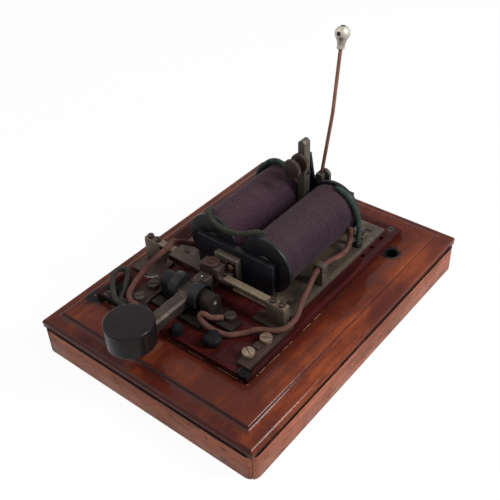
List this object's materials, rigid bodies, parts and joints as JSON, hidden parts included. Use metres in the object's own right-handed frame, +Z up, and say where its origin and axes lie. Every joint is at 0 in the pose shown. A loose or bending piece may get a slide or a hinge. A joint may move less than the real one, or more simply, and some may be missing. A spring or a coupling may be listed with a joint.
{
  "type": "railway block bell",
  "caption": "Electromagnet bell striker with a tapper key and contacts on a moulded wooden base, a hammer on a sprung armature and a hole for the wires.",
  "frame": {"origin": "centre of the base's underside", "axes": "+X to the right, +Y towards the hammer at the back, +Z up; the key's knob is at -Y"},
  "size_m": [0.228, 0.3115, 0.2277],
  "materials": {
    "plinth_wood": "worn satin varnish",
    "bare_wood": "unfinished",
    "board_mahogany": "glossy red varnish",
    "raised_mahogany": "glossy dark red varnish",
    "plate_brass": "dull tarnish with bright edges",
    "contact_brass": "dull tarnish",
    "bar_brass": "rubbed brass",
    "lever_bronze": "dark bronze with worn edges",
    "screw_brass": "worn brass",
    "screw_steel": "dull steel",
    "soft_iron": "bare soft iron",
    "black_iron": "black japan",
    "black_cheek": "black ebonite with a light rim",
    "winding_silk": "purple silk covering, dusty",
    "winding_copper": "wound wire",
    "collar_black": "dark blue-grey",
    "knob_ebonite": "black ebonite",
    "bush_ebonite": "black",
    "copper": "copper",
    "nickel": "worn nickel",
    "lead_brown": "brown covered wire",
    "lead_green": "green silk-covered wire",
    "lead_grey": "grey covered wire"
  },
  "bodies": {
    "base": {"plinth_front": "plinth_wood", "plinth_back": "plinth_wood", "plinth_left": "plinth_wood", "plinth_right": "plinth_wood", "bottom_board": "bare_wood", "moulded_board": "board_mahogany", "raised_board": "raised_mahogany", "magnet_plate": "plate_brass", "stop_post": "plate_brass", "wire_lug": "plate_brass", "armature_brackets": "plate_brass", "bridge_bracket": "plate_brass", "key_sole": "contact_brass", "left_strip": "contact_brass", "right_strip": "contact_brass", "left_contact_post": "contact_brass", "right_contact_post": "contact_brass", "right_pedestal": "contact_brass", "contact_bars": "bar_brass", "countersunk_screws": "screw_brass", "cheese_screws": "screw_brass", "small_screws": "screw_steel", "key_spring": "screw_steel", "left_core": "soft_iron", "right_core": "soft_iron", "yoke": "black_iron", "left_front_cheek": "black_cheek", "left_rear_cheek": "black_cheek", "right_front_cheek": "black_cheek", "right_rear_cheek": "black_cheek", "left_winding": "winding_silk", "right_winding": "winding_silk", "left_inner_winding": "winding_copper", "right_inner_winding": "winding_copper", "lead_bushes": "bush_ebonite", "taped_splice": "bush_ebonite", "left_pedestal": "bush_ebonite", "terminal_studs": "bush_ebonite", "right_lead": "lead_brown", "left_lead": "lead_brown", "coil_leads": "lead_green", "grey_lead": "lead_grey"},
    "key": {"key_arbor": "screw_steel", "key_lever": "lever_bronze", "left_collar": "collar_black", "right_collar": "collar_black", "tail_block": "lever_bronze", "tail_screw": "screw_brass", "contact_stud": "copper", "knob": "knob_ebonite", "knob_screw": "screw_brass"},
    "striker": {"armature": "black_iron", "armature_arbor": "screw_steel", "armature_tail": "black_iron", "hammer_lug": "plate_brass", "lug_screws": "screw_brass", "hammer_rod": "copper", "hammer_head": "nickel"},
    "stop_screw": {"stop_screw": "screw_brass"},
    "stop_nut": {"stop_nut": "screw_brass"}
  },
  "joints": [
    {"name": "key_press", "type": "hinge", "parent": "base", "child": "key", "pos_m": [-0.013, -0.072, 0.0625], "axis": [1, 0, 0], "range_deg": [0, 3], "stiffness_Nm_per_rad": 0.5, "springref_deg": -8.59},
    {"name": "hammer_swing", "type": "hinge", "parent": "base", "child": "striker", "pos_m": [0, 0.084, 0.056], "axis": [1, 0, 0], "range_deg": [0, 3], "stiffness_Nm_per_rad": 0.3, "springref_deg": -11.46},
    {"name": "stop_screw_turn", "type": "hinge", "parent": "base", "child": "stop_screw", "pos_m": [0, 0.068, 0.1198], "axis": [0, 1, 0], "range_deg": [-90, 90]},
    {"name": "stop_nut_turn", "type": "hinge", "parent": "base", "child": "stop_nut", "pos_m": [0, 0.0615, 0.1198], "axis": [0, 1, 0], "range_deg": [-90, 90]}
  ]
}
